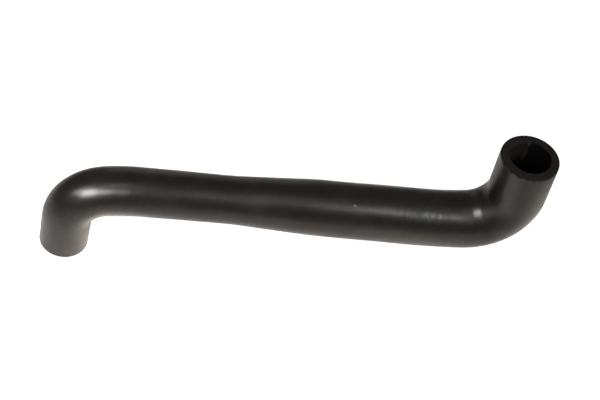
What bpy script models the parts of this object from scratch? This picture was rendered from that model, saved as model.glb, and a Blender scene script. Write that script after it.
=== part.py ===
"""Coolant bypass hose: one moulded rubber hose with a bent leg at each end.

The hose starts at the small end, which stands square on the floor, rises a
short leg, turns into a long run that slopes down to the right, widens in a
straight taper, and turns up again at the large end. The whole centreline
lies in the XZ plane. A constant wall runs all along it, so the bore follows
the outside and goes right through.

Metres, +Z up. The origin is under the middle of the bounding box.
"""
import math

import bpy
import bmesh
import numpy as np

# ---------------------------------------------------------------- sizes (m)
WALL = 0.00410            # rubber wall, the same all along the hose

# centreline, in order from the small end
BEND_A_RADIUS = 0.01719   # tight bend above the small end's leg
BEND_A_EASE_RADIUS = 0.08175   # the slow curve that leads from it into the run
BEND_A_TURN = 97.60       # degrees, both together
BEND_A_EASE_TURN = 11.16  # degrees of it in the slow curve
RUN = 0.12867             # straight run, taper included
BEND_B_EASE_RADIUS = 0.2571   # slow curve at the run's far end
BEND_B_EASE_TURN = 5.52   # degrees
BEND_B_RADIUS = 0.02008   # tight bend at the large end
BEND_B_TURN = 101.69      # degrees, both together
LARGE_LEG = 0.02282       # straight leg up to the large mouth

# outside diameters along the centreline
OD_SMALL_MOUTH = 0.02091
OD_SMALL = 0.02125
OD_AFTER_TAPER = 0.02533
OD_BEND_B = 0.02726
OD_LARGE_MOUTH = 0.02710
SMALL_LEG_NOMINAL = 0.0169
TAPER_START = 0.09911     # along the centreline from the small mouth
TAPER_END = 0.13622
ROUNDING = 0.004          # how softly the taper starts and ends

BEND_A_INSIDE = -0.00027  # the inside of the small bend is drawn in a little
BEND_A_OUTSIDE = 0.00032  # and its outside stands out
BEND_B_INSIDE = 0.00020   # the large bend stands out on both sides
BEND_B_OUTSIDE = 0.00024
EDGE = 0.00025            # broken edge of the cut ends

SEGMENTS = 40             # corners round a section

RUBBER = (0.030, 0.029, 0.029, 1.0)


# ------------------------------------------------------------- centreline
def stations(leg):
    """Points along the centreline: (s, centre, direction, across, inside,
    outside, side).

    The direction turns in the XZ plane by an angle t from +Z towards +X, and
    across is the unit vector in that plane at right angles to it. inside and
    outside are how far the skin stands out there on the two sides of a bend;
    side is 1 where across points to the bend's inside, and -1 where it
    points away from it.
    """
    out = []
    state = {"s": 0.0, "p": np.zeros(3), "t": 0.0}

    def put(inside=0.0, outside=0.0, side=1.0):
        t = state["t"]
        out.append((state["s"], state["p"].copy(),
                    np.array([math.sin(t), 0.0, math.cos(t)]),
                    np.array([math.cos(t), 0.0, -math.sin(t)]), inside, outside, side))

    def line(length, marks):
        t = state["t"]
        d = np.array([math.sin(t), 0.0, math.cos(t)])
        p0, s0 = state["p"].copy(), state["s"]
        for m in marks:
            state["p"] = p0 + d * length * m
            state["s"] = s0 + length * m
            put()

    def arc(radius, degrees, steps, inside=0.0, outside=0.0):
        """Turns towards +X for a positive angle and back for a negative."""
        turn = math.radians(degrees)
        way = 1.0 if turn > 0 else -1.0
        t0, p0, s0 = state["t"], state["p"].copy(), state["s"]
        n0 = np.array([math.cos(t0), 0.0, -math.sin(t0)]) * way
        centre = p0 + n0 * radius
        for i in range(1, steps + 1):
            t = t0 + turn * i / steps
            n = np.array([math.cos(t), 0.0, -math.sin(t)]) * way
            state["t"], state["p"] = t, centre - n * radius
            state["s"] = s0 + abs(turn) * radius * i / steps
            share = math.sin(math.pi * i / steps) ** 2
            put(inside * share, outside * share, way)

    put()
    line(leg, (EDGE / max(leg, 2 * EDGE), 0.5, 1.0))
    arc(BEND_A_RADIUS, BEND_A_TURN - BEND_A_EASE_TURN, 14,
        BEND_A_INSIDE, BEND_A_OUTSIDE)
    arc(BEND_A_EASE_RADIUS, BEND_A_EASE_TURN, 3)
    line(RUN, [i / 14 for i in range(1, 15)])
    arc(BEND_B_EASE_RADIUS, -BEND_B_EASE_TURN, 2)
    arc(BEND_B_RADIUS, -(BEND_B_TURN - BEND_B_EASE_TURN), 18,
        BEND_B_INSIDE, BEND_B_OUTSIDE)
    line(LARGE_LEG, (0.34, 0.67, 1.0 - EDGE / LARGE_LEG, 1.0))
    return out


def outside_diameter(s, total, bend_b_end):
    """Outside diameter at s, with the taper's two corners rounded off."""
    marks = [0.0, SMALL_LEG_NOMINAL, TAPER_START, TAPER_END, bend_b_end, total]
    sizes = [OD_SMALL_MOUTH, OD_SMALL, OD_SMALL, OD_AFTER_TAPER, OD_BEND_B,
             OD_LARGE_MOUTH]
    if s <= 0.0 or s >= total:
        return float(np.interp(s, marks, sizes))
    reach = min(ROUNDING, s, total - s)
    spread = [s + reach * k / 6.0 for k in range(-6, 7)]
    return float(np.mean(np.interp(spread, marks, sizes)))


def rings(leg):
    """The outer and the inner sections, as two lists of corner rings."""
    route = stations(leg)
    total = route[-1][0]
    bend_b_end = route[-5][0]
    outer, inner = [], []
    last = len(route) - 1
    for i, (s, p, d, n, inside, outside, side) in enumerate(route):
        r = outside_diameter(s, total, bend_b_end) / 2.0
        cut = EDGE if i in (0, last) else 0.0
        for store, radius, shift in (
                (outer, r - cut + (inside + outside) / 2.0,
                 side * (inside - outside) / 2.0),
                (inner, r - WALL + cut, 0.0)):
            c = p + n * shift
            ring = []
            for k in range(SEGMENTS):
                a = 2.0 * math.pi * k / SEGMENTS
                ring.append(c + n * math.cos(a) * radius
                            + np.array([0.0, 1.0, 0.0]) * math.sin(a) * radius)
            store.append(ring)
    return outer, inner


def standing_rings():
    """Sections of the hose as it stands: mouth and large bend both on z = 0.

    The small leg's length follows from that, and the whole is then moved so
    that the origin is under the middle of the bounding box.
    """
    leg = SMALL_LEG_NOMINAL
    for _ in range(6):
        probe, _inner = rings(leg)
        third = len(probe) // 3
        leg -= min(float(v[2]) for ring in probe[third:] for v in ring)
    outer, inner = rings(leg)
    xs = [float(v[0]) for ring in outer for v in ring]
    shift = np.array([-(min(xs) + max(xs)) / 2.0, 0.0, 0.0])
    outer = [[v + shift for v in ring] for ring in outer]
    inner = [[v + shift for v in ring] for ring in inner]
    for ring in (outer[0], inner[0]):
        for v in ring:
            v[2] = 0.0
    return outer, inner


# ------------------------------------------------------------------- mesh
def hose_mesh():
    outer, inner = standing_rings()
    bm = bmesh.new()
    out_v = [[bm.verts.new(v) for v in ring] for ring in outer]
    in_v = [[bm.verts.new(v) for v in ring] for ring in inner]
    for rows in (out_v, in_v):
        for a, b in zip(rows, rows[1:]):
            for k in range(SEGMENTS):
                m = (k + 1) % SEGMENTS
                bm.faces.new((a[k], a[m], b[m], b[k]))
    for a, b in ((out_v[0], in_v[0]), (out_v[-1], in_v[-1])):
        for k in range(SEGMENTS):
            m = (k + 1) % SEGMENTS
            bm.faces.new((a[k], a[m], b[m], b[k]))
    bmesh.ops.recalc_face_normals(bm, faces=bm.faces)
    mesh = bpy.data.meshes.new("bypass_hose")
    bm.to_mesh(mesh)
    bm.free()
    mesh.polygons.foreach_set("use_smooth", [True] * len(mesh.polygons))
    mesh.set_sharp_from_angle(angle=math.radians(35.0))
    mesh.update()
    return mesh


def rubber_material():
    mat = bpy.data.materials.new("rubber")
    mat.use_nodes = True
    shader = mat.node_tree.nodes["Principled BSDF"]
    shader.inputs["Base Color"].default_value = RUBBER
    shader.inputs["Roughness"].default_value = 0.46
    shader.inputs["Metallic"].default_value = 0.0
    mat.diffuse_color = RUBBER
    return mat


def main():
    for old in list(bpy.data.objects):
        bpy.data.objects.remove(old, do_unlink=True)
    hose = bpy.data.objects.new("bypass_hose", hose_mesh())
    bpy.context.scene.collection.objects.link(hose)
    hose.data.materials.append(rubber_material())


main()
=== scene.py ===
"""Looks of the coolant bypass hose: a fine rubber skin in place of the CAD solid.

Metres, +Z up, in the frame of the CAD part. The centreline and the diameters
are those of the part; this script adds what a real moulded hose shows close
up: slightly wavy sides, softly broken and nicked cut edges, a matt cut face,
a darker bore, and satin rubber with fine grain, rub marks and dust. Light and
shade are painted on in places too: painted shade turns the bore near black
deep inside, one side of the bore by the large mouth has painted light, and
painted highlights lie along the bore's ridge and on one mould pimple.
"""
import math

import bmesh
import bpy
import numpy as np
from mathutils import Matrix, Vector


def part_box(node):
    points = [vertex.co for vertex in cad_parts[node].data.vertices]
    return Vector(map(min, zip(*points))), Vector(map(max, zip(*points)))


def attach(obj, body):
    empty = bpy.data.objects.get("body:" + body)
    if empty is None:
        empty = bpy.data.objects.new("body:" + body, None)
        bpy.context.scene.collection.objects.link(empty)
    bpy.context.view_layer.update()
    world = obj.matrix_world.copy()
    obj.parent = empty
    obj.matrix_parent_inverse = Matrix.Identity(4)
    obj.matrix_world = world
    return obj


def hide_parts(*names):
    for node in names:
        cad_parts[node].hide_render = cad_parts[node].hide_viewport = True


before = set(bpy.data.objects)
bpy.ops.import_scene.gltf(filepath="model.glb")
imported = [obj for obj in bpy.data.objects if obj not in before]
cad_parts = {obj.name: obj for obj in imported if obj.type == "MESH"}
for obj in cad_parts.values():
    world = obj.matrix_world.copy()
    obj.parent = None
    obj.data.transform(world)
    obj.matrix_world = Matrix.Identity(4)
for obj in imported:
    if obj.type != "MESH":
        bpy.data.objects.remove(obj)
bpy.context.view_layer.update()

# ------------------------------------------------------- sizes, in metres
WALL = 0.00410
BEND_A_RADIUS = 0.01719
BEND_A_EASE_RADIUS = 0.08175
BEND_A_TURN = 97.60
BEND_A_EASE_TURN = 11.16
RUN = 0.12867
BEND_B_EASE_RADIUS = 0.2571
BEND_B_EASE_TURN = 5.52
BEND_B_RADIUS = 0.02008
BEND_B_TURN = 101.69
LARGE_LEG = 0.02282
OD_SMALL_MOUTH = 0.02091
OD_SMALL = 0.02125
OD_AFTER_TAPER = 0.02533
OD_BEND_B = 0.02726
OD_LARGE_MOUTH = 0.02710
SMALL_LEG_NOMINAL = 0.0169
TAPER_START = 0.09911
TAPER_END = 0.13622
ROUNDING = 0.004
BEND_A_BULGE = (-0.00027, 0.00032)   # on the bend's inside, on its outside
BEND_B_BULGE = (0.00020, 0.00024)

SEGMENTS = 160            # corners round a section
OUTER_STEP = 0.00065      # spacing of the sections outside
INNER_STEP = 0.00200      # in the bore, and close to the large mouth
MOUTH_STEP = 0.00050


# ------------------------------------------------------------- centreline
class Route:
    """The centreline, made of straight and round stretches in the XZ plane.

    at(s) gives the point, the direction, the vector across it in the plane,
    and how far the skin stands out on the side that it points to and on the
    other side, for a distance s from the small mouth.
    """

    def __init__(self, leg):
        self.parts = []
        self.s, self.p, self.t = 0.0, np.zeros(3), 0.0
        self._line(leg)
        self._arc(BEND_A_RADIUS, BEND_A_TURN - BEND_A_EASE_TURN, BEND_A_BULGE)
        self._arc(BEND_A_EASE_RADIUS, BEND_A_EASE_TURN)
        self._line(RUN)
        self._arc(BEND_B_EASE_RADIUS, -BEND_B_EASE_TURN)
        self._arc(BEND_B_RADIUS, -(BEND_B_TURN - BEND_B_EASE_TURN), BEND_B_BULGE)
        self.bend_b_end = self.s
        self._line(LARGE_LEG)
        self.length = self.s

    def _line(self, length):
        self.parts.append(("line", self.s, self.s + length, self.p.copy(), self.t, 0.0, 1.0, (0.0, 0.0)))
        self.p = self.p + np.array([math.sin(self.t), 0.0, math.cos(self.t)]) * length
        self.s += length

    def _arc(self, radius, degrees, bulge=(0.0, 0.0)):
        turn = math.radians(degrees)
        way = 1.0 if turn > 0 else -1.0
        length = abs(turn) * radius
        self.parts.append(("arc", self.s, self.s + length, self.p.copy(), self.t, radius, way, bulge))
        across = np.array([math.cos(self.t), 0.0, -math.sin(self.t)]) * way
        centre = self.p + across * radius
        self.t += turn
        across = np.array([math.cos(self.t), 0.0, -math.sin(self.t)]) * way
        self.p = centre - across * radius
        self.s += length

    def at(self, s):
        for kind, s0, s1, p0, t0, radius, way, bulge in self.parts:
            if s <= s1 or kind == "end":
                break
        u = s - s0
        if kind == "line":
            d = np.array([math.sin(t0), 0.0, math.cos(t0)])
            return p0 + d * u, d, np.array([math.cos(t0), 0.0, -math.sin(t0)]), 0.0, 0.0
        t = t0 + way * u / radius
        across0 = np.array([math.cos(t0), 0.0, -math.sin(t0)]) * way
        across1 = np.array([math.cos(t), 0.0, -math.sin(t)]) * way
        share = math.sin(math.pi * u / max(s1 - s0, 1e-9)) ** 2
        near, far = bulge if way > 0 else bulge[::-1]
        return (p0 + across0 * radius - across1 * radius,
                np.array([math.sin(t), 0.0, math.cos(t)]),
                np.array([math.cos(t), 0.0, -math.sin(t)]),
                near * share, far * share)

    def outside_radius(self, s):
        marks = [0.0, SMALL_LEG_NOMINAL, TAPER_START, TAPER_END, self.bend_b_end, self.length]
        sizes = [OD_SMALL_MOUTH, OD_SMALL, OD_SMALL, OD_AFTER_TAPER, OD_BEND_B, OD_LARGE_MOUTH]
        reach = min(ROUNDING, max(s, 0.0), max(self.length - s, 0.0))
        spread = [s + reach * k / 6.0 for k in range(-6, 7)]
        return float(np.mean(np.interp(spread, marks, sizes))) / 2.0


def lowest_of_bend_b(route):
    """The lowest point of the outside between the run's middle and the top."""
    low = 1.0
    for s in np.linspace(route.length * 0.5, route.length * 0.95, 400):
        p, d, n, near, far = route.at(s)
        r = route.outside_radius(s) + (near + far) / 2.0
        c = p + n * (near - far) / 2.0
        low = min(low, c[2] - r * abs(n[2]))
    return low


def standing_route():
    leg = SMALL_LEG_NOMINAL
    for _ in range(8):
        leg -= lowest_of_bend_b(Route(leg))
    return Route(leg)


# ---------------------------------------------------------- surface waves
def waves(s, a, seed, lengths, turns, size):
    """A smooth, repeatable unevenness over the skin, in metres."""
    rng = np.random.RandomState(seed)
    out = np.zeros(np.broadcast(s, a).shape)
    total = 0.0
    for length in lengths:
        for turn in turns:
            weight = rng.uniform(0.4, 1.0)
            out += weight * np.sin(2 * math.pi * s / (length * rng.uniform(0.85, 1.2))
                                   + turn * a + rng.uniform(0, 2 * math.pi))
            total += weight ** 2
    return out * size / math.sqrt(total)


def mesh_object(name, verts, faces, slots, uvs, rounds, materials):
    mesh = bpy.data.meshes.new(name)
    mesh.from_pydata([tuple(v) for v in verts], [], faces)
    for m in materials:
        mesh.materials.append(m)
    mesh.polygons.foreach_set("material_index", slots)
    for layer_name, values in (("along_and_round", uvs), ("round", rounds)):
        layer = mesh.uv_layers.new(name=layer_name)
        layer.data.foreach_set("uv", np.asarray(values, dtype=np.float32).ravel())
    mesh.polygons.foreach_set("use_smooth", [True] * len(mesh.polygons))
    mesh.update()
    obj = bpy.data.objects.new(name, mesh)
    bpy.context.scene.collection.objects.link(obj)
    return obj


SKIN_GAIN = 0.00010       # the soft skin stands this far proud of the CAD

# small marks left by the mould and by handling: place along the hose (m),
# angle round it (degrees), length (m), width (degrees), height (m)
LUMPS = [
    (0.1510, 209.8, 0.00075, 4.5, 0.00016),
    (0.0985, 227.0, 0.00090, 5.0, 0.00005),
    (0.1832, 216.5, 0.00110, 5.5, 0.00006),
    (0.2290, 248.0, 0.00080, 4.0, 0.00007),
    (0.0214, 262.0, 0.00080, 4.5, 0.00007),
    (0.0330, 224.0, 0.00260, 13.0, 0.00003),
    # rubber gathered a little where both bends start and at the taper
    (0.2120, 140.0, 0.00600, 40.0, 0.00028),
    (0.2163, 208.0, 0.00500, 32.0, 0.00028),
    (0.0460, 0.0, 0.00600, 45.0, 0.00030),
    (0.1060, 0.0, 0.01200, 60.0, 0.00022),
]
# chips out of the large mouth's outer edge: angle, width (degrees), how far
# they reach down the hose and how far in (m)
CHIPS = [(193.0, 3.4, 0.00055, 0.00022), (214.0, 3.0, 0.00035, 0.00016),
         (233.0, 3.2, 0.00060, 0.00022), (249.0, 2.8, 0.00028, 0.00012),
         (262.0, 3.6, 0.00034, 0.00012), (318.0, 4.0, 0.00025, 0.00008)]
# the bore is a little off centre at the large mouth (in the section's plane)
BORE_OFF_CENTRE = (0.00045, 0.00040)
BORE_SEAM_ANGLE = 78.0    # a lengthwise ridge inside the large mouth
BORE_SEAM = (0.0006, 0.0136)


def near_angle(angle, centre, width):
    """1 at the centre, falling off softly over the width; both in degrees."""
    gap = (np.degrees(angle) - centre + 180.0) % 360.0 - 180.0
    return np.exp(-(gap / width) ** 2)


def build_hose(route, offset, materials):
    """The skin as one closed mesh: outside, two cut faces and the bore."""
    angle = np.arange(SEGMENTS) * 2 * math.pi / SEGMENTS
    cos_a, sin_a = np.cos(angle), np.sin(angle)
    y_axis = np.array([0.0, 1.0, 0.0])
    L = route.length

    def ring(s, radius, push=0.0):
        """One section. push moves it along the hose, per corner."""
        p, d, n, near, far = route.at(min(max(s, 0.0), L))
        r = np.asarray(radius) + (near + far) / 2.0
        c = p + n * (near - far) / 2.0
        return (c[None] + n[None] * (cos_a * r)[:, None] + y_axis[None] * (sin_a * r)[:, None]
                + d[None] * (np.zeros(SEGMENTS) + push)[:, None])

    def inner_ring(s, radius, push=0.0):
        p, d, n, near, far = route.at(min(max(s, 0.0), L))
        r = np.asarray(radius) + np.zeros(SEGMENTS)
        off = min(max((s - L + 0.045) / 0.045, 0.0), 1.0)
        c = p + (n * BORE_OFF_CENTRE[0] + y_axis * BORE_OFF_CENTRE[1]) * off
        return (c[None] + n[None] * (cos_a * r)[:, None] + y_axis[None] * (sin_a * r)[:, None]
                + d[None] * (np.zeros(SEGMENTS) + push)[:, None])

    def skin_radius(s):
        """Radius of the outside at s, per corner, with its waves and marks."""
        base = route.outside_radius(s) + SKIN_GAIN
        calm = min(1.0, s / 0.004, (L - s) / 0.004)
        wave = waves(np.full(SEGMENTS, s), angle, 11, (0.031, 0.052, 0.083), (0, 1, 2, 3), 0.000045)
        fine = waves(np.full(SEGMENTS, s), angle, 23, (0.009, 0.014), (1, 3, 5), 0.000014)
        marks = np.zeros(SEGMENTS)
        for place, centre, length, width, height in LUMPS:
            marks += height * math.exp(-((s - place) / length) ** 2) * near_angle(angle, centre, width)
        # soft cross waves in the small bend, and short cross strokes on the run
        marks += (0.000018 * math.exp(-((s - 0.0450) / 0.010) ** 2)
                  * np.sin(2 * math.pi * s / 0.0058 + 1.4 * angle) * near_angle(angle, 221.0, 20.0))
        window = 1 / (1 + math.exp(-(s - 0.166) / 0.006)) * 1 / (1 + math.exp((s - 0.206) / 0.004))
        stroke = waves(np.full(SEGMENTS, s), angle, 51, (0.0026, 0.0034, 0.0047), (2, 4, 7, 9), 0.000022)
        marks += window * stroke * near_angle(angle, 217.0, 16.0)
        return base + (wave + fine) * (0.35 + 0.65 * calm) + marks

    def bore_radius(s):
        base = route.outside_radius(s) - WALL
        base = base + waves(np.full(SEGMENTS, s), angle, 37, (0.027, 0.061), (0, 1, 2), 0.00006)
        depth = L - s
        seam = 1 / (1 + math.exp(-(depth - BORE_SEAM[0]) / 0.0002)) / (1 + math.exp((depth - BORE_SEAM[1]) / 0.0008))
        wander = 1.6 * math.sin(depth * 700.0) + 0.9 * math.sin(depth * 1900.0 + 1.0)
        base = base - seam * 0.00032 * near_angle(angle, BORE_SEAM_ANGLE + wander, 3.0)
        # a second, faint lip behind the soft side of the inner edge
        base = base - 0.00020 * math.exp(-((depth - 0.0019) / 0.00045) ** 2) * near_angle(angle, 150.0, 40.0)
        base = base - 0.00035 * math.exp(-((depth - 0.0013) / 0.0006) ** 2) * near_angle(angle, BORE_SEAM_ANGLE - 1.5, 3.5)
        # the liner stands in a little on one side of the ridge
        return base - seam * 0.00014 * near_angle(angle, BORE_SEAM_ANGLE + 24.0, 17.0)

    def edge_wear(seed):
        """How far the knife's edge wanders, per corner."""
        rng = np.random.RandomState(seed)
        out = np.zeros(SEGMENTS)
        for k in (2, 3, 5, 9, 14, 23):
            out += rng.uniform(0.3, 1.0) * np.sin(k * angle + rng.uniform(0, 6.3)) / k ** 0.4
        return out / 3.0

    # outside: round the cut edge, go along, round the other one
    rows, rows_s = [], []
    n_out = int(round((L - 0.0022) / OUTER_STEP))
    edge_a, edge_b = edge_wear(5), edge_wear(8)
    chip_down, chip_in = np.zeros(SEGMENTS), np.zeros(SEGMENTS)
    for centre, width, down, depth in CHIPS:
        chip_down += down * near_angle(angle, centre, width)
        chip_in += depth * near_angle(angle, centre, width)
    r_edge = 0.00020
    for i, q in enumerate(np.linspace(0.0, 1.0, 5)):
        a = q * math.pi / 2
        wander = 0.00005 * edge_a
        rows.append(ring(0.0, skin_radius(0.0) - r_edge * (1 - math.sin(a)) + wander * (1 - q),
                         r_edge * (1 - math.cos(a)) * 1.0))
        rows_s.append(r_edge * (1 - math.cos(a)))
    for s in np.linspace(0.0006, L - 0.0016, n_out):
        rows.append(ring(s, skin_radius(s)))
        rows_s.append(s)
    for i, q in enumerate(np.linspace(1.0, 0.0, 5)):
        a = q * math.pi / 2
        fall = (1 - q) * (0.00009 * edge_b - chip_in)
        rows.append(ring(L, skin_radius(L) - r_edge * (1 - math.sin(a)) + fall,
                         -r_edge * (1 - math.cos(a)) + 0.00004 * edge_b * (1 - q)
                         - chip_down * (0.25 + 0.75 * q)))
        rows_s.append(L - r_edge * (1 - math.cos(a)))
    n_outer_rows = len(rows)

    # the large mouth's cut face, from the outer to the inner edge
    face_steps = 12
    slots_of_band = ["cover"] * (n_outer_rows - 5) + ["edge"] * 4
    r_in_edge = 0.00022 + 0.00075 * near_angle(angle, 150.0, 42.0) + 0.00015 * np.abs(edge_wear(4))
    outer_b = rows[-1]
    inner_b = inner_ring(L, bore_radius(L) + r_in_edge)
    d_end = route.at(L)[1]
    for k in range(1, face_steps + 1):
        q = k / face_steps
        lift = 0.00003 * np.sin(3 * angle + 9 * q) * math.sin(math.pi * q)
        lift = lift + 0.00002 * np.sin(11 * angle + 4 * q) * math.sin(math.pi * q)
        rows.append(outer_b * (1 - q) + inner_b * q + d_end[None] * lift[:, None])
        rows_s.append(L)
        slots_of_band.append("cut")
    # the bore, back to the small mouth
    for q in np.linspace(0.2, 1.0, 5):
        a = q * math.pi / 2
        rows.append(inner_ring(L, bore_radius(L) + r_in_edge * (1 - math.sin(a)), -r_in_edge * (1 - math.cos(a))))
        rows_s.append(L - 0.0004 * q)
        slots_of_band.append("cut")
    close = np.arange(L - 0.0014, L - 0.0170, -MOUTH_STEP)
    far = np.linspace(close[-1] - INNER_STEP, 0.0006, int(round(close[-1] / INNER_STEP)))
    for s in np.concatenate([close, far]):
        rows.append(inner_ring(s, bore_radius(s)))
        rows_s.append(s)
        slots_of_band.append("bore")
    r_in_edge = 0.00022
    for q in np.linspace(1.0, 0.0, 4):
        a = q * math.pi / 2
        rows.append(inner_ring(0.0, bore_radius(0.0) + r_in_edge * (1 - math.sin(a)), r_in_edge * (1 - math.cos(a))))
        rows_s.append(r_in_edge * (1 - math.cos(a)))
        slots_of_band.append("bore")
    # the small mouth's cut face, back to the first row
    inner_a = bore_radius(0.0) + r_in_edge
    outer_a = skin_radius(0.0) - r_edge + 0.00005 * edge_a
    for k in range(1, face_steps):
        q = k / face_steps
        rows.append(inner_ring(0.0, inner_a * (1 - q) + outer_a * q))
        rows_s.append(0.0)
        slots_of_band.append("cut")
    slots_of_band.append("cut")   # the band that closes onto the first row

    verts = np.concatenate(rows) + offset[None]
    n_rows = len(rows)
    slot_number = {"cover": 0, "cut": 1, "bore": 2}
    faces, slots, uvs, rounds = [], [], [], []
    for j in range(n_rows):
        k = (j + 1) % n_rows
        s0, s1 = rows_s[j], rows_s[k]
        for i in range(SEGMENTS):
            m = (i + 1) % SEGMENTS
            faces.append((j * SEGMENTS + i, j * SEGMENTS + m, k * SEGMENTS + m, k * SEGMENTS + i))
            slot = slots_of_band[j]
            if slot == "edge":     # raw rubber shows in the chips
                slot = "cut" if max(chip_down[i], chip_down[m]) > 0.00018 else "cover"
            slots.append(slot_number[slot])
            u0, u1 = i / SEGMENTS, (i + 1) / SEGMENTS
            uvs += [(s0 * 10, u0), (s0 * 10, u1), (s1 * 10, u1), (s1 * 10, u0)]
            c0, c1 = (cos_a[i], sin_a[i]), (cos_a[m], sin_a[m])
            rounds += [c0, c1, c1, c0]
    obj = mesh_object("hose_skin", verts, faces, slots, uvs, rounds, materials)
    bm = bmesh.new()
    bm.from_mesh(obj.data)
    bmesh.ops.recalc_face_normals(bm, faces=bm.faces)
    bm.to_mesh(obj.data)
    bm.free()
    obj.data.set_sharp_from_angle(angle=math.radians(50.0))
    return obj


# -------------------------------------------------------------- materials
class Nodes:
    """Short hand for building a node tree."""

    def __init__(self, name):
        self.mat = bpy.data.materials.new(name)
        self.mat.use_nodes = True
        self.tree = self.mat.node_tree
        self.shader = self.tree.nodes["Principled BSDF"]

    def add(self, kind, **values):
        node = self.tree.nodes.new(kind)
        for key, value in values.items():
            if key in node.inputs:
                node.inputs[key].default_value = value
            else:
                setattr(node, key, value)
        return node

    def link(self, a, b):
        self.tree.links.new(a, b)

    def noise(self, vector, scale, detail=3.0, rough=0.55, stretch=None):
        if stretch:
            m = self.add("ShaderNodeMapping")
            m.inputs["Scale"].default_value = stretch
            self.link(vector, m.inputs["Vector"])
            vector = m.outputs["Vector"]
        n = self.add("ShaderNodeTexNoise")
        n.inputs["Scale"].default_value = scale
        n.inputs["Detail"].default_value = detail
        n.inputs["Roughness"].default_value = rough
        self.link(vector, n.inputs["Vector"])
        return n.outputs["Fac"]

    def ramp(self, value, low, high, to_low=0.0, to_high=1.0):
        r = self.add("ShaderNodeMapRange")
        r.inputs["From Min"].default_value = low
        r.inputs["From Max"].default_value = high
        r.inputs["To Min"].default_value = to_low
        r.inputs["To Max"].default_value = to_high
        self.link(value, r.inputs["Value"])
        return r.outputs["Result"]

    def math(self, op, a, b=None):
        m = self.add("ShaderNodeMath", operation=op)
        for slot, value in ((0, a), (1, b)):
            if value is None:
                continue
            if isinstance(value, (int, float)):
                m.inputs[slot].default_value = value
            else:
                self.link(value, m.inputs[slot])
        return m.outputs[0]

    def mix_colour(self, factor, a, b):
        m = self.add("ShaderNodeMix", data_type="RGBA")
        for name, value in (("Factor", factor), ("A", a), ("B", b)):
            socket = [x for x in m.inputs if x.name == name and (name == "Factor" and x.type == "VALUE" or x.type == "RGBA")][0]
            if isinstance(value, (int, float, tuple)):
                socket.default_value = value
            else:
                self.link(value, socket)
        return [x for x in m.outputs if x.type == "RGBA"][0]

    def along(self):
        """Along the hose (in 0.1 m) and round it (0 to 1)."""
        uv = self.add("ShaderNodeUVMap", uv_map="along_and_round").outputs["UV"]
        parts = self.add("ShaderNodeSeparateXYZ")
        self.link(uv, parts.inputs["Vector"])
        return parts.outputs["X"], parts.outputs["Y"]

    def lengthwise(self, stretch):
        """A vector for lengthwise streaks that closes without a join."""
        u, _ = self.along()
        uv = self.add("ShaderNodeUVMap", uv_map="round").outputs["UV"]
        parts = self.add("ShaderNodeSeparateXYZ")
        self.link(uv, parts.inputs["Vector"])
        join = self.add("ShaderNodeCombineXYZ")
        self.link(u, join.inputs["X"])
        self.link(parts.outputs["X"], join.inputs["Y"])
        self.link(parts.outputs["Y"], join.inputs["Z"])
        m = self.add("ShaderNodeMapping")
        m.inputs["Scale"].default_value = (1.0, stretch, stretch)
        self.link(join.outputs["Vector"], m.inputs["Vector"])
        return m.outputs["Vector"]


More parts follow.
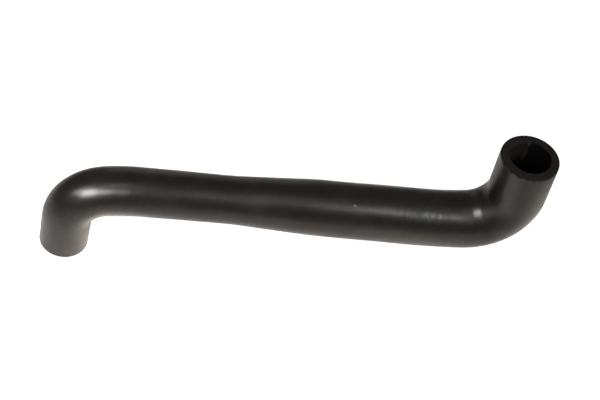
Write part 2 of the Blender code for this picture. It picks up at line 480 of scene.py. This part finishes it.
def cover_material():
    """Satin black rubber with fine grain, faint lengthwise rub and dust, and a painted highlight on one mould pimple.
    """
    n = Nodes("rubber_cover")
    where = n.add("ShaderNodeTexCoord").outputs["Object"]

    blotch = n.noise(where, 38.0, 4.0, 0.6)
    cloud = n.noise(where, 130.0, 4.0, 0.6)
    grain = n.noise(where, 2600.0, 2.0, 0.6)
    pores = n.noise(where, 900.0, 3.0, 0.65)
    streak = n.noise(n.lengthwise(9.5), 3.0, 4.0, 0.6)

    dust = n.math("MULTIPLY", n.ramp(blotch, 0.52, 0.78), n.ramp(cloud, 0.42, 0.70))
    rubber = n.mix_colour(n.ramp(cloud, 0.30, 0.70), (0.0047, 0.0042, 0.0040, 1), (0.0083, 0.0074, 0.0068, 1))
    colour = n.mix_colour(n.math("MULTIPLY", dust, 0.35), rubber, (0.041, 0.037, 0.033, 1))
    # a painted highlight: a pale spot on top of the mould pimple on the run
    u, v = n.along()
    pimple_s, pimple_angle, pimple_glint_size = LUMPS[0][0], LUMPS[0][1], 0.00055
    du = n.math("MULTIPLY", n.math("SUBTRACT", u, pimple_s * 10), 0.1 / pimple_glint_size)
    dv = n.math("MULTIPLY", n.math("SUBTRACT", v, pimple_angle / 360), 0.0796 / pimple_glint_size)
    far = n.math("ADD", n.math("MULTIPLY", du, du), n.math("MULTIPLY", dv, dv))
    colour = n.mix_colour(n.ramp(far, 0.1, 1.6, 1.0, 0.0), colour, (0.10, 0.099, 0.097, 1))
    n.link(colour, n.shader.inputs["Base Color"])

    mottle = n.noise(where, 430.0, 3.0, 0.6)
    rough = n.ramp(blotch, 0.30, 0.70, 0.310, 0.370)
    rough = n.math("ADD", rough, n.ramp(mottle, 0.36, 0.64, -0.010, 0.010))
    # short cross strokes, where the run was wiped before the large bend
    stroke = n.noise(where, 400.0, 4.0, 0.62, stretch=(1.0, 0.55, 0.55))
    wiped = n.math("MULTIPLY", n.ramp(u, 1.60, 1.76), n.ramp(u, 1.98, 2.07, 1.0, 0.0))
    off = n.math("ABSOLUTE", n.math("SUBTRACT", v, 0.602))
    wiped = n.math("MULTIPLY", wiped, n.ramp(off, 0.020, 0.070, 1.0, 0.0))
    stroke = n.math("MULTIPLY", wiped, n.ramp(stroke, 0.38, 0.62, -1.0, 1.0))
    rough = n.math("ADD", rough, n.math("MULTIPLY", stroke, -0.040))
    rough = n.math("ADD", rough, n.ramp(streak, 0.30, 0.70, -0.015, 0.020))
    rough = n.math("ADD", rough, n.ramp(grain, 0.30, 0.70, -0.02, 0.02))
    rough = n.math("ADD", rough, n.math("MULTIPLY", dust, 0.08))
    n.link(rough, n.shader.inputs["Roughness"])
    bloom = n.noise(where, 210.0, 5.0, 0.7)
    shine = n.math("ADD", n.ramp(bloom, 0.32, 0.68, 0.455, 0.545), n.ramp(mottle, 0.36, 0.64, 0.022, -0.022))
    shine = n.math("ADD", shine, n.math("MULTIPLY", stroke, 0.10))
    n.link(shine, n.shader.inputs["Specular IOR Level"])
    n.shader.inputs["IOR"].default_value = 1.50
    n.shader.inputs["Metallic"].default_value = 0.0

    height = n.math("ADD", n.math("MULTIPLY", grain, 0.20), n.math("MULTIPLY", pores, 0.50))
    height = n.math("ADD", height, n.math("MULTIPLY", streak, 0.35))
    bump = n.add("ShaderNodeBump")
    bump.inputs["Strength"].default_value = 0.30
    bump.inputs["Distance"].default_value = 0.00006
    n.link(height, bump.inputs["Height"])
    n.link(bump.outputs["Normal"], n.shader.inputs["Normal"])
    return n.mat


def cut_material():
    """The knife-cut ends: matt, duller and browner, with faint drag lines."""
    n = Nodes("rubber_cut_face")
    where = n.add("ShaderNodeTexCoord").outputs["Object"]
    drag = n.noise(where, 260.0, 3.0, 0.6, stretch=(1.0, 7.0, 1.0))
    speck = n.noise(where, 1800.0, 2.0, 0.6)
    colour = n.mix_colour(n.ramp(drag, 0.30, 0.70), (0.0035, 0.0019, 0.0021, 1), (0.0060, 0.0035, 0.0037, 1))
    n.link(colour, n.shader.inputs["Base Color"])
    n.link(n.ramp(speck, 0.3, 0.7, 0.62, 0.74), n.shader.inputs["Roughness"])
    n.shader.inputs["Specular IOR Level"].default_value = 0.22
    height = n.math("ADD", n.math("MULTIPLY", drag, 0.6), n.math("MULTIPLY", speck, 0.4))
    bump = n.add("ShaderNodeBump")
    bump.inputs["Strength"].default_value = 0.5
    bump.inputs["Distance"].default_value = 0.00010
    n.link(height, bump.inputs["Height"])
    n.link(bump.outputs["Normal"], n.shader.inputs["Normal"])
    return n.mat


def bore_material(length):
    """The inside: brownish painted light on one side by the mouth, a painted highlight along the ridge, and painted
    shade, near black, deep down.
    """
    n = Nodes("rubber_bore")
    where = n.add("ShaderNodeTexCoord").outputs["Object"]
    u, v = n.along()
    streak = n.noise(n.lengthwise(6.4), 4.0, 3.0, 0.6)
    cloud = n.noise(where, 160.0, 3.0, 0.6)
    # 1 at the large mouth, 0 from 14 mm inside it
    close = n.ramp(u, (length - 0.0145) * 10, (length - 0.0070) * 10)
    seam = BORE_SEAM_ANGLE / 360.0
    # painted light: by the mouth, the wall on one side of the ridge is made lighter and brownish
    painted_lit_side = n.math("MULTIPLY", n.ramp(v, seam, seam + 0.012), n.ramp(v, 0.40, 0.52, 1.0, 0.0))
    painted_lit_side = n.math("MULTIPLY", painted_lit_side, n.ramp(cloud, 0.30, 0.66, 0.55, 1.0))
    colour = n.mix_colour(painted_lit_side, (0.0034, 0.0031, 0.0030, 1), (0.0150, 0.0128, 0.0112, 1))
    # a painted highlight: a pale line along the ridge inside the mouth
    line = n.math("ADD", v, n.ramp(n.noise(where, 420.0, 2.0), 0.3, 0.7, -0.006, 0.006))
    line = n.math("ABSOLUTE", n.math("SUBTRACT", line, seam))
    line = n.math("MULTIPLY", n.ramp(line, 0.002, 0.009, 1.0, 0.0), n.ramp(cloud, 0.30, 0.60, 0.45, 1.0))
    colour = n.mix_colour(line, colour, (0.036, 0.035, 0.033, 1))
    # a brighter painted highlight where the ridge starts by the mouth's edge
    ridge_glint = n.math("MULTIPLY", line, n.ramp(u, (length - 0.0024) * 10, (length - 0.0016) * 10))
    colour = n.mix_colour(ridge_glint, colour, (0.110, 0.107, 0.100, 1))
    # painted shade: deeper than about 7 mm the colour fades to near black, and the specular level falls with it
    colour = n.mix_colour(close, (0.0012, 0.0011, 0.0011, 1), colour)
    n.link(colour, n.shader.inputs["Base Color"])
    n.link(n.ramp(close, 0.0, 1.0, 0.08, 0.42), n.shader.inputs["Specular IOR Level"])
    n.link(n.ramp(streak, 0.3, 0.7, 0.42, 0.54), n.shader.inputs["Roughness"])
    bump = n.add("ShaderNodeBump")
    bump.inputs["Strength"].default_value = 0.35
    bump.inputs["Distance"].default_value = 0.00008
    n.link(streak, bump.inputs["Height"])
    n.link(bump.outputs["Normal"], n.shader.inputs["Normal"])
    return n.mat


# ------------------------------------------------------------------ stage
EYE_FLOOR_COLOUR = (0.30, 0.30, 0.30, 1)
EYE_FLOOR_GLOW = 0.97
BOUNCE_COLOUR = (0.868, 0.808, 0.776, 1)
# painted pools of light: places of the bounce floor that glow: x, y, radius, strength
BOUNCE_SPOTS = [(0.135, -0.020, 0.040, 0.74), (-0.088, -0.010, 0.024, 1.10),
                (0.058, -0.037, 0.034, 0.62), (-0.130, 0.000, 0.030, 0.12),
                (0.005, -0.078, 0.052, 0.60)]
SPOT_TINT = (1.0, 0.89, 0.74, 1)
WORLD_COLOUR = (1.0, 0.98, 0.96)
WORLD_STRENGTH = 0.098

# name, direction from its target, target, distance, width, watts, spread
# (degrees), colour
LIGHTS = [
    ("right_softbox", (0.635, -0.455, 0.624), (0, 0, 0.02), 0.90, 0.26, 1.72, 180, (1, 1, 1)),
    ("top_softbox", (-0.041, -0.255, 0.966), (0, 0, 0.02), 0.90, 0.16, 0.51, 180, (1, 1, 1)),
    ("front_softbox", (-0.043, -0.704, 0.709), (0, 0, 0.02), 0.90, 0.16, 0.43, 180, (1, 1, 1)),
    ("rim_softbox", (0.15, 0.95, 0.27), (0, 0, 0.02), 0.90, 0.40, 0.30, 180, (1.0, 0.84, 0.75)),
    ("small_bend_grid_1", (-0.52, -0.451, 0.726), (-0.098, -0.004, 0.036), 0.40, 0.09, 0.0610, 34, (1.0, 0.965, 0.93)),
    ("small_bend_grid_2", (-0.382, -0.619, 0.686), (-0.098, -0.004, 0.036), 0.40, 0.09, 0.0600, 44, (1.0, 0.965, 0.93)),
    ("small_bend_grid_3", (-0.078, -0.665, 0.743), (-0.098, -0.004, 0.036), 0.40, 0.09, 0.0316, 44, (1, 1, 1)),
    ("small_bend_grid_4", (-0.735, -0.192, 0.65), (-0.098, -0.004, 0.036), 0.40, 0.09, 0.0105, 26, (1, 1, 1)),
    ("large_bend_grid", (-0.091, -0.336, 0.937), (0.083, -0.004, 0.025), 0.40, 0.125, 0.0480, 30, (1.0, 0.98, 0.93)),
    ("large_bend_side", (-0.83, -0.49, 0.16), (0.092, -0.008, 0.022), 0.17, 0.09, 0.0046, 60, (1, 1, 1)),
]


def floor_material(name, base, glow, spots=()):
    n = Nodes(name)
    where = n.add("ShaderNodeTexCoord").outputs["Object"]
    mottle = n.noise(where, 3.0, 2.0)
    n.link(n.mix_colour(n.ramp(mottle, 0.3, 0.7), base, tuple(c * 0.985 for c in base[:3]) + (1,)),
           n.shader.inputs["Base Color"])
    n.shader.inputs["Roughness"].default_value = 0.9
    n.shader.inputs["Specular IOR Level"].default_value = 0.1
    n.shader.inputs["Emission Color"].default_value = SPOT_TINT if spots else (1, 1, 1, 1)
    n.shader.inputs["Emission Strength"].default_value = glow
    total = None
    for x, y, radius, strength in spots:
        m = n.add("ShaderNodeMapping")
        m.inputs["Location"].default_value = (-x / radius, -y / radius, 0.0)
        m.inputs["Scale"].default_value = (1 / radius, 1 / radius, 1 / radius)
        n.link(where, m.inputs["Vector"])
        fade = n.add("ShaderNodeTexGradient", gradient_type="SPHERICAL")
        n.link(m.outputs["Vector"], fade.inputs["Vector"])
        part = n.math("MULTIPLY", fade.outputs["Fac"], strength)
        total = part if total is None else n.math("ADD", total, part)
    if total is not None:
        n.link(total, n.shader.inputs["Emission Strength"])
    else:
        n.mat.cycles.emission_sampling = "NONE"
    return n.mat


def make_floor():
    """A pale sweep for the eye, and the same floor as the hose's bounce.

    The sweep is kept nearly white, as in a cut-out catalogue picture. The
    hose is lit from below by the bounce floor, which isn't over-exposed and
    glows in a few painted pools of light.
    """
    sides, steps = 96, 10
    flat, bend, wall = 1.8, 0.5, 2.6
    profile = [(0.0, 0.0), (0.35, 0.0), (flat, 0.0)]
    for k in range(1, steps + 1):
        a = k / steps * math.pi / 2
        profile.append((flat + bend * math.sin(a), bend * (1 - math.cos(a))))
    profile.append((flat + bend, wall))
    verts = [(0.0, 0.0, 0.0)]
    faces = []
    for r, z in profile[1:]:
        for i in range(sides):
            a = 2 * math.pi * i / sides
            verts.append((r * math.cos(a), r * math.sin(a), z))
    for i in range(sides):
        faces.append((0, 1 + i, 1 + (i + 1) % sides))
    for j in range(len(profile) - 2):
        for i in range(sides):
            m = (i + 1) % sides
            a, b = 1 + j * sides, 1 + (j + 1) * sides
            faces.append((a + i, b + i, b + m, a + m))
    mesh = bpy.data.meshes.new("floor")
    mesh.from_pydata(verts, [], faces)
    mesh.polygons.foreach_set("use_smooth", [True] * len(mesh.polygons))
    floor = bpy.data.objects.new("floor", mesh)

    flat_mesh = bpy.data.meshes.new("floor_bounce")
    flat_mesh.from_pydata([(-3, -3, 0), (3, -3, 0), (3, 3, 0), (-3, 3, 0)], [], [(0, 1, 2, 3)])
    bounce = bpy.data.objects.new("floor_bounce", flat_mesh)

    floor.data.materials.append(floor_material("pale_floor", EYE_FLOOR_COLOUR, EYE_FLOOR_GLOW))
    bounce.data.materials.append(floor_material("pale_bounce", BOUNCE_COLOUR, 0.0, BOUNCE_SPOTS))
    for obj in (floor, bounce):
        bpy.context.scene.collection.objects.link(obj)
    floor.visible_shadow = False
    bounce.visible_shadow = False
    floor.visible_diffuse = False
    floor.visible_glossy = False
    floor.visible_transmission = False
    bounce.visible_camera = False
    return floor


def make_lights():
    made = []
    for name, direction, target, distance, width, watts, spread, colour in LIGHTS:
        data = bpy.data.lights.new(name, "AREA")
        data.shape = "SQUARE"
        data.size = width
        data.energy = watts
        data.spread = math.radians(spread)
        data.color = colour
        lamp = bpy.data.objects.new(name, data)
        d = Vector(direction).normalized()
        lamp.location = d * distance + Vector(target)
        lamp.rotation_euler = d.to_track_quat("Z", "Y").to_euler()
        bpy.context.scene.collection.objects.link(lamp)
        made.append(lamp)
    world = bpy.data.worlds.new("studio")
    world.use_nodes = True
    back = world.node_tree.nodes["Background"]
    back.inputs["Color"].default_value = WORLD_COLOUR + (1,)
    back.inputs["Strength"].default_value = WORLD_STRENGTH
    bpy.context.scene.world = world
    return made


CAMERA_PLACE = (-0.177424, -0.397514, 0.521226)
CAMERA_AXES = ((0.963589, -0.165861, 0.209731),     # to the right in the picture
               (-0.002190, 0.779443, 0.626469),     # up in the picture
               (-0.267380, -0.604117, 0.750700))    # from the object to the camera
CAMERA_LENS = 88.352


def make_camera():
    data = bpy.data.cameras.new("camera")
    data.sensor_width = 36.0
    data.sensor_fit = "HORIZONTAL"
    data.lens = CAMERA_LENS
    data.clip_start, data.clip_end = 0.01, 20.0
    data.dof.use_dof = False
    cam = bpy.data.objects.new("camera", data)
    x, y, z = (Vector(v).normalized() for v in CAMERA_AXES)
    m = Matrix((x, y, z)).transposed().to_4x4()
    m.translation = Vector(CAMERA_PLACE)
    cam.matrix_world = m
    bpy.context.scene.collection.objects.link(cam)
    bpy.context.scene.camera = cam
    return cam


def main():
    route = standing_route()
    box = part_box("bypass_hose")
    # the same middle as the CAD: the small mouth's centre is a known place
    probe = [route.at(s) + (route.outside_radius(s),) for s in np.linspace(0, route.length, 3000)]
    low = min(p[0] - r * abs(n[0]) for p, d, n, g, h, r in probe)
    high = max(p[0] + r * abs(n[0]) for p, d, n, g, h, r in probe)
    offset = np.array([(box[0][0] + box[1][0]) / 2 - (low + high) / 2, 0.0, 0.0])
    hose = build_hose(route, offset, [cover_material(), cut_material(), bore_material(route.length)])
    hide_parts("bypass_hose")
    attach(hose, "root")
    make_floor()
    make_lights()
    make_camera()
    bpy.context.scene.view_settings.view_transform = "Standard"


main()
